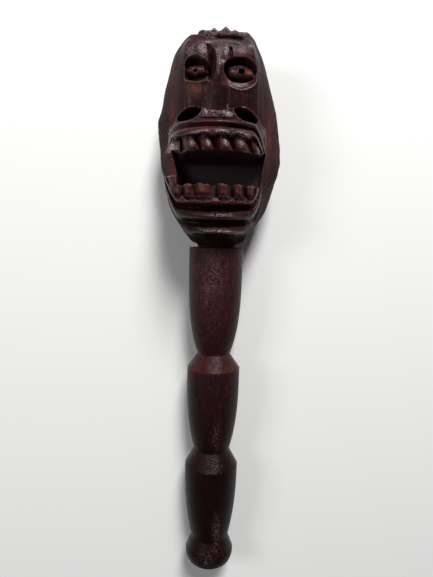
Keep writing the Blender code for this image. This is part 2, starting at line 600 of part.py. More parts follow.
build()
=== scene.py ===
import math

import bmesh
import bpy
import numpy as np
from mathutils import Matrix, Vector


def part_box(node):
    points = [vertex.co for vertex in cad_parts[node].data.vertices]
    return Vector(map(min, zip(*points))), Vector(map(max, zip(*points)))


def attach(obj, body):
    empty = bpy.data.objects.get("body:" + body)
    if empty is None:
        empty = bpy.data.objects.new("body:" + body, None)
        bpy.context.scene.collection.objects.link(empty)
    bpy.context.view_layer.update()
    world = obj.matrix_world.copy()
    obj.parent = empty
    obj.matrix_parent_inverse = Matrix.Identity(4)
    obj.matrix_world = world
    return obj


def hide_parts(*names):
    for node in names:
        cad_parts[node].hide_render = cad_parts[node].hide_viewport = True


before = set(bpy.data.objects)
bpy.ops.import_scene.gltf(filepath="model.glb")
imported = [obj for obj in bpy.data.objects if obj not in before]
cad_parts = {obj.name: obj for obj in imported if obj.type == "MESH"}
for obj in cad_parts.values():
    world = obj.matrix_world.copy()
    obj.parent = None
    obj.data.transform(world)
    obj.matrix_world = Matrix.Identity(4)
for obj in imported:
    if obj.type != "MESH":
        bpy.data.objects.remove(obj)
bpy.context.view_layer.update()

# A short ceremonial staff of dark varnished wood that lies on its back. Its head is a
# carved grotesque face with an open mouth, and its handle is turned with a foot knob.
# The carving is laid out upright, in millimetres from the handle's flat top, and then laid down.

mm = 0.001


# Smooth shapes that the carving is put together from

def ramp(low, high, value):
    share = np.clip((value - low) / (high - low), 0.0, 1.0)
    return share * share * (3.0 - 2.0 * share)


def hill(value, centre, width):
    return np.exp(-((value - centre) / width) ** 2)


def dome(value, half):
    return np.sqrt(np.clip(1.0 - (value / half) ** 2, 0.0, 1.0))


def curve(points, at):
    # a smooth line through (place, value) points that doesn't overshoot them
    place, value = np.array(points, float).T
    gap = np.diff(place)
    rise = np.diff(value) / gap
    product = rise[1:] * rise[:-1]
    total = rise[1:] + rise[:-1]
    inner = np.where(product > 0.0, 2.0 * product / np.where(total == 0.0, 1.0, total), 0.0)
    slope = np.concatenate(([rise[0]], inner, [rise[-1]]))
    at = np.clip(at, place[0], place[-1])
    i = np.clip(np.searchsorted(place, at) - 1, 0, len(gap) - 1)
    t = (at - place[i]) / gap[i]
    return ((1 + 2 * t) * (1 - t) ** 2 * value[i] + t * (1 - t) ** 2 * gap[i] * slope[i]
            + t * t * (3 - 2 * t) * value[i + 1] + t * t * (t - 1) * gap[i] * slope[i + 1])


noiseTable = np.random.default_rng(11).random((128, 128))


def rough(u, v, seed=0):
    # smooth noise from -1 to 1 with one bump to each unit of u and v
    u = u + 17.3 * seed
    v = v + 9.1 * seed
    iu = np.floor(u).astype(int)
    iv = np.floor(v).astype(int)
    fu = u - iu
    fv = v - iv
    fu = fu * fu * (3.0 - 2.0 * fu)
    fv = fv * fv * (3.0 - 2.0 * fv)
    low = noiseTable[iu % 128, iv % 128] * (1 - fu) + noiseTable[(iu + 1) % 128, iv % 128] * fu
    high = noiseTable[iu % 128, (iv + 1) % 128] * (1 - fu) + noiseTable[(iu + 1) % 128, (iv + 1) % 128] * fu
    return 2.0 * (low * (1 - fv) + high * fv) - 1.0


# The handle and how the staff lies

shaft = {
    "sections": (       # widest radius, length, waist radius, how late it tapers, chamfer below it
        (22.5, 90.9, 13.8, 4.0, 12.2),
        (22.6, 73.5, 15.2, 3.0, 13.6),
        (23.0, 67.6, 16.2, 2.4, 12.5)),
    "rimRound": 0.6,
    "edgeRound": 0.5,   # how far the lathe's crisp corners are worn
    "knobRadius": 21.1,
    "knobRoll": 8.2,        # from the widest place down to the foot's edge
    "knobEdge": 19.4,       # radius at that edge
    "knobBow": 2.4,
    "footRound": 3.7,
    "footRadius": 6.0,
    "footFullness": 0.6,    # 1 rounds the foot as an ellipse, less is squarer
    "knobFlat": 0.4,
    "sides": 144,
    "taperSteps": 26,
    "knobSteps": 22,
}

head = {
    "rows": 320,
    "columns": 300,
    "crownRows": 0.13,      # share of the rows that close the crown
    "frontShare": 0.74,     # share of the columns on the carved front
    "seatGap": 0.3,         # the dark seam between neck and handle
    "neckRadius": 15.4,
    "backFlat": 1.4,
    "leftOutline": ((2, 16), (6, 20.6), (16, 28.4), (31, 37), (51, 42.2), (62, 46), (78, 47.6),
                    (98, 49.4), (108, 47), (128, 43.2), (146, 38.6), (152, 37), (161, 31)),
    "rightOutline": ((2, 16), (6, 23.2), (16, 30.5), (31, 40), (51, 45.9), (62, 49.5), (72, 50.1),
                     (90, 48.5), (109, 45.3), (128, 40.2), (146, 35), (152, 32.8), (161, 28.6)),
    "outlineFacets": 0.5,   # how far the knife's facets stand in and out of the outline
    "frontDepth": ((0, 15), (8, 19), (20, 25), (40, 29), (70, 31), (100, 32), (125, 32.5),
                   (143, 32.4), (150, 31.6), (154, 30.4), (157.5, 28.4), (161, 28.4)),
    "backHeight": 97.0,     # where the back bulges most, and the staff lies on it
    "backBulge": 36.2,
    "sideDepth": ((0, 0), (60, 4), (100, 6), (161, 3)),
    "crownStart": 161.0,
    "crownTop": 163.6,
    "panelHalf": 27.0,      # half width of the flat front of the face
    "faceCentre": -1.2,
    "locks": 17,
    "lockDepth": 1.2,
}
head["backDepth"] = ((0, 15), (14, 24), (40, 32.5), (70, 35.4), (head["backHeight"], head["backBulge"]),
                     (122, 35), (145, 31), (161, 26))

knobHeight = -sum(length + chamfer for wide, length, waist, bow, chamfer in shaft["sections"])
knobLow = -(shaft["knobRadius"] - shaft["knobFlat"])
backLow = -(head["backBulge"] - head["backFlat"])
tilt = math.atan2(knobLow - backLow, head["backHeight"] - knobHeight)
shaftLow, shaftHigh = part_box("turned_shaft")
lean = Matrix.Rotation(tilt, 4, "X")
# the rim's place that reaches farthest along +Y once the staff lies down
rimEdge = lean @ Vector((0.0, -shaft["rimRound"], -shaft["sections"][0][0]))
floorPoint = lean @ Vector((0.0, head["backHeight"], backLow))
staffPlace = Matrix.Translation((
    0.5 * (shaftLow.x + shaftHigh.x),
    shaftHigh.y - rimEdge.y * mm,
    -floorPoint.z * mm))
layDown = staffPlace @ lean @ Matrix.Scale(mm, 4)
seat = [round(value, 5) for value in staffPlace.translation]
print("staff: tilt", round(math.degrees(tilt), 3), "degrees, seat at", seat)


# Camera, floor and light

view = {
    "place": (0.00106, 0.0121, 0.4024),     # upright, from the middle of the handle's top
    "pitch": -6.67,
    "roll": 1.42,
    "focalPixels": 475.0,
    "photoHeight": 577.0,
    "floorSize": 6.0,
    "aim": (0.0, 0.08, 0.05),
    "worldLight": 0.08,
    "lights": (         # place, width, height, power, how much of it shows in the gloss
        ((0.30, 1.45, 1.25), 0.45, 0.80, 45.0, 1.0),
        ((-1.10, 0.30, 1.20), 0.60, 0.60, 7.0, 0.2)),
}


def linear(hexColor):
    channels = [int(hexColor[i:i + 2], 16) / 255.0 for i in (0, 2, 4)]
    return [c / 12.92 if c <= 0.04045 else ((c + 0.055) / 1.055) ** 2.4 for c in channels] + [1.0]


def addNode(tree, kind, inputs=None, **settings):
    # one node with its settings; an input takes a value or another node's socket
    node = tree.nodes.new("ShaderNode" + kind)
    for name, value in settings.items():
        setattr(node, name, value)
    for name, value in (inputs or {}).items():
        if isinstance(value, bpy.types.NodeSocket):
            tree.links.new(value, node.inputs[name])
        else:
            node.inputs[name].default_value = value
    return node


def newMaterial(name):
    material = bpy.data.materials.new(name)
    material.use_nodes = True
    tree = material.node_tree
    return material, tree, tree.nodes["Principled BSDF"]


def setUpView():
    camera = bpy.data.objects.new("camera", bpy.data.cameras.new("camera"))
    bpy.context.scene.collection.objects.link(camera)
    camera.data.sensor_width = 36.0
    camera.data.lens = 36.0 * view["focalPixels"] / view["photoHeight"]
    camera.data.clip_start = 0.01
    camera.matrix_world = (staffPlace @ lean @ Matrix.Translation(view["place"])
                           @ Matrix.Rotation(math.radians(view["pitch"]), 4, "X")
                           @ Matrix.Rotation(math.radians(view["roll"]), 4, "Z"))
    bpy.context.scene.camera = camera
    bpy.context.scene.view_settings.view_transform = "Standard"

    grid = bmesh.new()
    bmesh.ops.create_grid(grid, x_segments=1, y_segments=1, size=0.5 * view["floorSize"])
    mesh = bpy.data.meshes.new("floor")
    grid.to_mesh(mesh)
    grid.free()
    floor = bpy.data.objects.new("floor", mesh)
    bpy.context.scene.collection.objects.link(floor)
    material, tree, shader = newMaterial("matt white paper")
    shader.inputs["Base Color"].default_value = linear("EFEFEE")
    shader.inputs["Roughness"].default_value = 0.9
    mesh.materials.append(material)

    world = bpy.data.worlds.new("studio")
    bpy.context.scene.world = world
    world.use_nodes = True
    world.node_tree.nodes["Background"].inputs["Color"].default_value = (1.0, 1.0, 1.0, 1.0)
    world.node_tree.nodes["Background"].inputs["Strength"].default_value = view["worldLight"]

    for place, width, height, power, gloss in view["lights"]:
        box = bpy.data.objects.new("softbox", bpy.data.lights.new("softbox", "AREA"))
        box.data.shape = "RECTANGLE"
        box.data.size = width
        box.data.size_y = height
        box.data.energy = power
        box.data.specular_factor = gloss
        box.location = place
        box.rotation_euler = (Vector(view["aim"]) - box.location).to_track_quat("-Z", "Y").to_euler()
        bpy.context.scene.collection.objects.link(box)


setUpView()
print("view: camera, floor and light")


# The face. x runs across, y up from the handle's top, z is how far the wood stands forward.

brow = {
    "leftEdge": ((-27.0, 136.6), (-25.6, 139.4), (-23.0, 141.5), (-18.6, 141.8), (-11.8, 139.6),
                 (-8.3, 137.0)),
    "leftBlock": (-16.0, 145.0, 8.0, 5.6, 3.4),     # across, up, half width, half height, bulge
    "rightBlock": (15.5, 145.2, 8.5, 4.6, 1.8),
    "cutWall": ((128.0, -8.6), (136.0, -8.4), (141.0, -8.8), (146.0, -9.7), (151.6, -10.4)),
    "cutRim": ((128.0, -4.4), (132.0, -3.4), (138.3, -3.0), (144.6, -4.2), (149.0, -6.4), (151.6, -9.6)),
    "cutDepth": ((124.0, 0.0), (130.0, 5.0), (138.0, 6.6), (144.0, 5.2), (148.0, 3.4), (152.0, 0.4)),
    "notch": (7.7, 144.9, 1.15, 4.0, 2.8),          # across, up, half width, half height, depth
    "hairGroove": (157.7, 2.7),         # height and depth of the dark groove below the hair
}
leftEye = {
    "bottom": ((-26.5, 126.2), (-18.0, 124.8), (-9.0, 126.4)),
    "leftWall": -26.4, "rightWall": -7.6,
    "depth": 11.5,
    "lid": ((-28.6, 133.4), (-25.0, 136.0), (-20.2, 138.0), (-15.9, 138.2), (-11.6, 136.8), (-7.4, 133.4)),
    "lower": ((-28.6, 132.6), (-24.0, 130.6), (-18.5, 129.2), (-13.0, 130.4), (-7.4, 132.6)),
    "iris": (-18.9, 132.9), "irisRadius": 3.3, "pupilRadius": 1.7, "pupilDepth": 2.6,
    "bulge": 8.4, "lidBulge": 2.2,
}
rightEye = {
    "centre": (14.9, 133.2), "half": (12.6, 8.8),
    "bevelCentre": (15.6, 131.2), "bevelHalf": (12.6, 11.6), "bevelDepth": 2.6,
    "depth": 12.0,
    "lid": ((3.2, 132.2), (7.6, 136.6), (12.0, 138.2), (15.7, 138.9), (19.6, 138.0), (23.6, 134.9),
            (28.4, 129.8)),
    "lower": ((3.2, 131.4), (8.0, 128.6), (12.0, 127.4), (16.0, 127.0), (20.4, 127.4), (24.5, 128.4),
              (28.4, 129.4)),
    "iris": (15.9, 132.9), "irisRadius": 3.7, "pupilRadius": 2.5, "pupilDepth": 6.0,
    "bulge": 9.6, "lidBulge": 2.8,
}


def facePanel(x, y):
    # the flat front of the face and the slanted planes that run back to the side edges
    half = np.where(x < 0.0, curve(head["leftOutline"], y), curve(head["rightOutline"], y))
    panel = np.minimum(head["panelHalf"], 0.7 * half)
    across = np.clip(np.abs(x) / panel, 0.0, 1.0)
    front = curve(head["frontDepth"], y) - 2.2 * across ** 2
    side = curve(head["sideDepth"], y)
    back = np.clip((np.abs(x) - panel) / (half - panel), 0.0, 1.0)
    return side + (front - side) * (1.0 - back ** 1.25) ** 0.8


def forehead(x, y, z):
    for cx, cy, wide, high, bulge in (brow["leftBlock"], brow["rightBlock"]):
        z = z + bulge * hill(x, cx, wide) * hill(y, cy, high)
    z = z + 0.5 * hill(x, 15.0, 7.0) * hill(y, 146.0, 3.5) * rough(x / 2.6, y / 2.2, 3)
    z = z + 1.6 * ramp(9.0, 4.0, np.abs(x - 1.6)) * ramp(128.0, 138.0, y) * ramp(153.0, 147.0, y)
    rim = 154.0 - 0.010 * (x - 2.0) ** 2
    z = z + 1.0 * hill(y, rim, 2.0) * ramp(26.0, 18.0, np.abs(x - 2.0))

    # a wedge cut beside the nose root: a steep wall on the brow's side, a slope up to the root's rim
    wall = curve(brow["cutWall"], y)
    edge = curve(brow["cutRim"], y)
    slope = np.clip((edge - x) / (edge - wall), 0.0, 1.0)
    cut = curve(brow["cutDepth"], y) * slope ** 0.8 * ramp(wall - 0.9, wall + 0.1, x)
    z = z - cut + 0.6 * hill(x, edge + 0.7, 0.8) * ramp(132.0, 138.0, y) * ramp(151.0, 148.0, y)
    across, up, wide, high, deep = brow["notch"]
    beside = np.abs(x - across - 0.10 * (up - y)) / wide
    z = z - deep * ramp(1.3, 0.4, beside) * ramp(1.1, 0.8, np.abs(y - up) / high)
    z = z + 0.7 * hill(x, across - 2.4, 1.2) * hill(y, up, 3.0)

    # the groove below the hair, fainter on the left
    middle, most = brow["hairGroove"]
    deep = 0.4 + most * ramp(-7.0, 0.0, x) * (1.0 + 0.4 * rough(x / 3.0, y / 3.0, 9))
    middle = middle - 0.002 * x * x + 0.3 * rough(x / 4.0, 0.5 + 0.0 * y, 10)
    return z - deep * hill(y, middle, 0.95) * ramp(-29.0, -22.0, x) * ramp(18.5, 14.0, x)


def noseBridge(x, y, z):
    # a soft ridge from between the eyes to the nose tip, with a shallow flute on each side
    middle = curve(((100, -1.8), (116, -2.4), (138, 0.2)), y)
    height = curve(((100, 1.0), (116, 1.4), (128, 2.2), (140, 0.0)), y)
    z = z + height * hill(x, middle, 6.5)
    fade = ramp(102.0, 110.0, y) * ramp(132.0, 122.0, y)
    z = z - 1.0 * hill(x, middle - 7.6, 2.2) * fade
    return z - 0.8 * hill(x, middle + 8.0, 2.0) * fade


def cheeks(x, y, z):
    for middle in (-19.0, 19.0):
        z = z + 1.0 * hill(x, middle, 6.5) * hill(y, 113.0, 10.0)
    z = z + 0.5 * hill(x, -13.7, 0.8) * hill(y, 119.0, 4.6)     # the thin ridge that two gouge cuts leave
    edge = 26.0 + 2.6 * ramp(0.0, 4.0, x)
    return z + 0.6 * hill(np.abs(x), edge, 0.9) * ramp(100.0, 106.0, y) * ramp(146.0, 140.0, y)


def eyeball(x, y, z, eye, inside):
    # an almond between the lids, flat enough to catch the light, with a ring and a drilled pupil
    lid = curve(eye["lid"], x)
    lower = curve(eye["lower"], x)
    first, last = eye["lid"][0][0], eye["lid"][-1][0]
    ends = (ramp(first, first + 6.0, x) * ramp(last, last - 6.0, x)) ** 0.7
    middle = 0.5 * (lid + lower)
    half = np.maximum(0.5 * (lid - lower), 0.3)
    ball = np.clip(1.0 - np.abs((y - middle) / half) ** 2.2, 0.0, 1.0) ** 0.65
    z = z + eye["bulge"] * ball * ends * inside
    z = z + eye["lidBulge"] * hill(y, lid - 0.6, 0.9) * ends * inside
    radius = np.hypot(x - eye["iris"][0], y - eye["iris"][1])
    z = z + 0.6 * ramp(eye["irisRadius"] + 0.5, eye["irisRadius"] - 0.5, radius) * inside
    return z - eye["pupilDepth"] * ramp(eye["pupilRadius"] + 0.3, eye["pupilRadius"] - 0.6, radius) * inside


def leftSocket(x, y, z):
    top = curve(brow["leftEdge"], x)
    bottom = curve(leftEye["bottom"], x)
    inside = ramp(top + 0.2, top - 1.0, y) * ramp(bottom - 0.9, bottom + 1.4, y)
    inside = inside * ramp(leftEye["leftWall"] - 1.0, leftEye["leftWall"] + 1.8, x)
    inside = inside * ramp(leftEye["rightWall"] + 1.6, leftEye["rightWall"] - 1.4, x)
    deep = leftEye["depth"] * (0.62 + 0.38 * ramp(bottom, bottom + 9.0, y))
    z = z - deep * inside
    z = z + 0.8 * hill(y, bottom - 1.2, 1.1) * ramp(-27.0, -24.0, x) * ramp(-8.0, -11.0, x)
    return eyeball(x, y, z, leftEye, inside)


def rightSocket(x, y, z):
    across = (x - rightEye["centre"][0]) / rightEye["half"][0]
    up = (y - rightEye["centre"][1]) / rightEye["half"][1]
    away = (np.abs(across) ** 2.2 + np.abs(up) ** 2.2) ** (1 / 2.2)
    lower = ramp(0.3, -0.9, up)
    inside = ramp(1.03, 0.90 - 0.16 * lower, away)
    beside = (x - rightEye["bevelCentre"][0]) / rightEye["bevelHalf"][0]
    below = (y - rightEye["bevelCentre"][1]) / rightEye["bevelHalf"][1]
    bevel = np.hypot(beside, below)
    z = z + 0.3 * hill(bevel, 1.08, 0.09) * ramp(0.1, -0.5, below)
    z = z - rightEye["bevelDepth"] * ramp(1.04, 0.72, bevel) * ramp(0.2, -0.3, below) * (1.0 - inside)
    z = z - (rightEye["depth"] - 3.4 * lower) * inside
    return eyeball(x, y, z, rightEye, inside)


# The muzzle

jaw = {
    "half": 39.0,
    "foot": 14.0,
    "upperTeeth": ((-20.6, 5.9), (-8.9, 4.9), (4.6, 4.9), (16.8, 5.3), (29.0, 4.6)),
    "lowerTeeth": ((-33.2, 5.6), (-21.6, 4.4), (-11.0, 7.2), (4.6, 4.9), (15.9, 4.6), (25.6, 4.4)),
    "arch": ((0, 98.6), (5, 98.9), (9, 100.2), (14, 102.0), (19.5, 102.9), (25, 101.3), (30, 97.2),
             (34, 91.0)),       # upper edge of the nostrils
    "upperReach": ((81.0, 54.8), (82.2, 56.4), (84.6, 57.4), (86.4, 55.6), (87.6, 50.5), (88.7, 54.4),
                   (90.4, 56.4), (92.4, 54.9), (93.4, 53.2)),
    "bandTop": 93.4,        # where the lip's upper band meets the nose
    "droop": (2.2, 12.0),   # how far the upper lip bends down at its left and right ends
    "noseTip": 52.6,
    "nostrilWing": 46.0,
    "nostril": (20.6, 97.0, 8.6, 4.1, 0.26),    # across, up, half width, half height, drop outwards
    "nostrilDepth": 17.0,
    "upperTooth": 52.6,     # how far the upper teeth reach, and the gum between them
    "upperGum": 46.0,
    "upperLean": 0.30,      # how far the teeth lean to the left for each millimetre up
    "lowerTooth": 45.0,
    "lowerGum": 37.0,
    "lowerLean": 0.16,
    "lowerReach": ((3.0, 15.0), (6.5, 18.0), (9.0, 26.0), (11.2, 36.6), (13.0, 39.2), (15.4, 39.0),
                   (17.4, 36.0), (19.2, 34.0), (20.8, 38.5), (22.4, 45.0), (24.8, 47.2), (27.0, 46.0),
                   (28.8, 41.4), (30.2, 39.0), (31.6, 42.5), (33.2, 49.4), (35.2, 51.8), (37.4, 50.4)),
    "mouthTop": 71.2,
    "mouthBottom": 48.6,
    "mouthBack": 12.0,
}


def jawPlan(across, reach, half):
    # seen from above: a half ellipse from the middle of the lips back to the cheek
    plan = jaw["foot"] + (reach - jaw["foot"]) * dome(across, half)
    return np.where(np.abs(across) < half, plan, -jaw["foot"])


def toothRow(x, teeth):
    # 1 on the middle of each tooth, 0 in the gaps between
    row = np.zeros_like(x)
    for middle, half in teeth:
        row = np.maximum(row, dome(x - middle, half))
    return row


def upperRow(x, y):
    return toothRow(x + jaw["upperLean"] * (y - 76.0), jaw["upperTeeth"])


def lowerRow(x, y):
    return toothRow(x + jaw["lowerLean"] * (y - 42.0), jaw["lowerTeeth"])


def noseAndUpperLip(x, y, z):
    plain = z
    across = x - head["faceCentre"]
    far = np.abs(across)
    leftEnd = np.clip((-across - 24.0) / 10.0, 0.0, 1.5)
    rightEnd = np.clip((across - 25.0) / 10.0, 0.0, 1.5)
    level = y + (jaw["droop"][0] * leftEnd ** 2 + jaw["droop"][1] * rightEnd ** 2)
    arch = curve(jaw["arch"], far)
    flare = ramp(arch + 4.5, arch - 0.2, y)
    wing = jawPlan(across, jaw["nostrilWing"], jaw["half"])
    z = z + np.maximum(wing - z, 0.0) * flare ** 2.0

    thinCut = 3.2 * ramp(14.0, 4.0, x) * hill(level, 87.6, 0.9)     # the groove is finer on the left
    lip = jawPlan(across, curve(jaw["upperReach"], level) + thinCut, jaw["half"])
    pitted = 0.6 * rough(x / 2.4, y / 1.9, 5) + 0.3 * rough(x / 0.9, y / 0.9, 6)
    tip = jaw["noseTip"] + 3.0 * dome(far, 14.0) + pitted * dome(far, 17.0)
    rim = jawPlan(across, tip, jaw["half"])
    underArch = ramp(arch + 0.5, arch - 0.7, y)
    body = np.where(level > jaw["bandTop"], rim, lip)
    body = body + (rim - body) * ramp(jaw["bandTop"] - 1.4, jaw["bandTop"] + 1.2, level)
    z = z + (np.maximum(body, z) - z) * underArch
    z = z + 1.0 * hill(y, arch - 0.4, 0.55) * ramp(4.0, 10.0, far) * ramp(34.0, 30.0, far)

    middleX, middleY, wide, high, drop = jaw["nostril"]
    beside = np.abs(far - middleX) / wide
    above = np.abs(y - middleY + drop * (far - middleX)) / high
    z = z - jaw["nostrilDepth"] * ramp(1.08, 0.88, (beside ** 1.9 + above ** 1.9) ** (1 / 1.9))

    row = upperRow(x, y)
    scallop = 80.4 + 2.4 * row * ramp(-20.0, -10.0, x) + 1.4 * ramp(-10.0, -20.0, x)
    edge = hill(level, scallop + 0.7, 0.7) * ramp(-28.0, -22.0, x) * ramp(34.0, 30.0, far)
    z = z + 0.7 * edge * underArch
    belowLip = ramp(scallop + 0.5, scallop - 0.5, level)
    toothFace = jaw["upperTooth"] + 1.2 * hill(level, 76.0, 3.4) - 2.0 * ramp(74.0, 71.0, y)
    gum = jawPlan(across, jaw["upperGum"], jaw["half"])
    tooth = jawPlan(across, toothFace, jaw["half"])
    teeth = gum + (tooth - gum) * row ** 0.9
    z = z + (np.maximum(np.minimum(teeth, z), plain) - z) * belowLip

    # the first tooth is a facet that stands out at the left corner; its pale look is a painted reflection
    top = np.minimum(71.6 + 1.5 * (x + 41.0), 80.6)
    facet = 34.6 + 0.62 * (x + 35.0) - 0.15 * (y - 75.0)
    first = ramp(-41.6, -40.9, x) * ramp(-28.3, -28.9, x) * ramp(0.5, -0.4, y - top)
    z = z + (np.maximum(facet, plain) - z) * first
    z = z - 3.0 * hill(y, top + 0.9, 0.8) * ramp(-41.0, -39.0, x) * ramp(-27.0, -30.0, x)
    z = z - 3.5 * hill(x, -27.9, 0.7) * ramp(82.0, 80.0, y)      # the dark gap between it and the next

    z = plain + (z - plain) * ramp(jaw["mouthTop"] - 1.0, jaw["mouthTop"], y)
    outerRidge = hill(across, 37.0, 1.0) * ramp(64.0, 72.0, y) * ramp(90.0, 84.0, y)
    innerRidge = hill(across, 34.0 + 0.10 * (y - 74.0), 0.8) * ramp(66.0, 70.0, y) * ramp(80.0, 77.0, y)
    return z + 2.2 * outerRidge + 1.6 * innerRidge


def lowerJaw(x, y, z):
    # teeth inside a lip, then a roll and a chin, all turned up at the sides like nested bows
    middle = curve(((13, -1.5), (37, -2.2), (53, -4.0)), y)
    across = x - middle
    far = np.abs(across)
    level = y - 0.0022 * far ** 2 - 18.0 * (np.clip(far - 27.0, 0.0, None) / 10.5) ** 2
    level = level + rough(x / 5.5, 0.5 + 0.0 * y, 12) * ramp(19.0, 13.0, y)     # the chin's wavy edge
    half = curve(((4, 22), (13, 28), (24, 35), (36, 38.6), (54, 39.5)), y)
    row = lowerRow(x, y)
    lipEdge = 37.8 - 3.2 * row

    rolls = jawPlan(across, curve(jaw["lowerReach"], level), half)
    toothFace = jaw["lowerTooth"] + 4.0 * ramp(36.0, 42.0, y) + 0.9 * rough(x / 2.4, y / 4.0, 14)
    gum = jawPlan(across, jaw["lowerGum"], half)
    tooth = jawPlan(across, toothFace, half)
    teeth = gum + (tooth - gum) * row
    inMouth = ramp(lipEdge - 0.4, lipEdge + 0.5, level)
    shape = rolls + (teeth - rolls) * inMouth
    shape = shape + 0.8 * hill(level, lipEdge - 0.7, 0.6) * ramp(33.0, 30.0, far)
    shape = shape - 2.0 * hill(across, 0.3, 0.6) * hill(level, 25.0, 2.0)
    below = ramp(57.0, 54.0, y)
    return z + (np.maximum(shape, z) - z) * below


def mouth(x, y, z):
    # the open mouth: a roof that slopes to a plain back wall
    left = curve(((46, -30.0), (56, -31.0), (72, -34.8)), y)
    right = curve(((46, 32.0), (52, 33.2), (72, 35.2)), y)
    top = jaw["mouthTop"] + 1.6 - 1.8 * upperRow(x, y)
    tips = 0.7 * lowerRow(x, y) + 0.5 * rough(x / 2.6, 0.5 + 0.0 * y, 13)
    bottom = jaw["mouthBottom"] - 0.8 + tips
    openHere = ramp(top + 0.4, top - 0.4, y) * ramp(bottom - 0.5, bottom + 0.5, y)
    openHere = openHere * ramp(left - 1.2, left + 1.0, x) * ramp(right + 1.2, right - 1.0, x)
    roof = 44.0 * ramp(65.0, 75.0, y) ** 1.3
    floor = jaw["mouthBack"] + roof * ramp(36.0, 24.0, np.abs(x))
    return z + (np.minimum(floor, z) - z) * openHere


def maneStrands(x, y):
    # 0 on the ridges between the strands; they are drawn two millimetres apart so that they show
    return np.abs(np.sin(math.pi * (x * 0.86 + y * 0.51) / 2.2)) ** 0.7


def maneCuts(x, y):
    # the places on the sides where the strands are cut deep
    return hill(y, 91.5, 6.0) * (x < 0) + 0.7 * hill(y, 56.0, 8.0) * (x > 0)


def handMarks(x, y, z):
    # shallow facets left by the gouge, and the strands and punch marks of the mane
    half = np.where(x < 0.0, curve(head["leftOutline"], y), curve(head["rightOutline"], y))
    edge = ramp(0.60, 0.85, np.abs(x) / half)
    z = z + 0.16 * rough(x / 4.2, y / 6.5, 1) + 0.08 * rough(x / 1.7, y / 2.6, 2)
    z = z - (0.18 + 1.3 * maneCuts(x, y)) * maneStrands(x, y) * edge
    punched = ramp(31.0, 34.5, x) * ramp(58.0, 50.0, y) * ramp(16.0, 22.0, y)
    return z + 0.5 * punched * rough(x / 1.1, y / 1.1, 4)


def frontDepth(x, y):
    z = facePanel(x, y)
    z = forehead(x, y, z)
    z = noseBridge(x, y, z)
    z = cheeks(x, y, z)
    z = leftSocket(x, y, z)
    z = rightSocket(x, y, z)
    z = noseAndUpperLip(x, y, z)
    z = lowerJaw(x, y, z)
    z = handMarks(x, y, z)
    return mouth(x, y, z)


# The whole head, wrapped round from a flat grid

hair = {
    "peaks": ((-14.4, 4.4, 0.9), (-10.0, 2.6, 0.6), (-5.5, 3.2, 2.4), (3.4, 4.6, 3.6), (10.5, 2.8, 1.2),
              (19.8, 4.0, 0.3)),      # place across, half width, height
    "leftDip": (-19.2, 1.7, 1.3),
    "leftDrop": 2.0,
}


def tuftHeight(x):
    height = np.zeros_like(x)
    for middle, half, tall in hair["peaks"]:
        share = np.clip(1.0 - np.abs(x - middle) / half, 0.0, 1.0)
        height = np.maximum(height, tall * share ** 1.25)
    middle, half, deep = hair["leftDip"]
    return height - hair["leftDrop"] * ramp(-16.4, -19.0, x) - deep * hill(x, middle, half)


def rowHeights(along):
    # rows lie closer together where the jaws are
    places = np.linspace(head["seatGap"], head["crownStart"], 2000)
    weight = 1.0 + 0.5 * ramp(4.0, 12.0, places) * ramp(112.0, 100.0, places) + ramp(154.0, 158.0, places)
    total = np.concatenate(([0.0], np.cumsum(0.5 * (weight[1:] + weight[:-1]))))
    return np.interp(along, total / total[-1], places)


def columnPlaces(t, y):
    # columns lie closer together where the front turns steeply to the side
    left = curve(head["leftOutline"], y)
    right = curve(head["rightOutline"], y)
    share = np.linspace(-1.0, 1.0, 401)
    spread = np.where(share[None, :] < 0.0, left[:, None], right[:, None]) * share[None, :]
    reach = 0.75 * curve(((0, 16), (10, 26), (16, 40), (50, 52), (92, 54), (112, 34), (161, 30)), y)
    bulge = reach[:, None] * dome(spread, 1.02 * np.maximum(left, right)[:, None])
    step = np.hypot(np.diff(spread, axis=1), 0.8 * np.diff(bulge, axis=1))
    total = np.concatenate((np.zeros((len(y), 1)), np.cumsum(step, axis=1)), axis=1)
    total = 2.0 * total / total[:, -1:] - 1.0
    return np.array([np.interp(t, total[i], spread[i]) for i in range(len(y))])


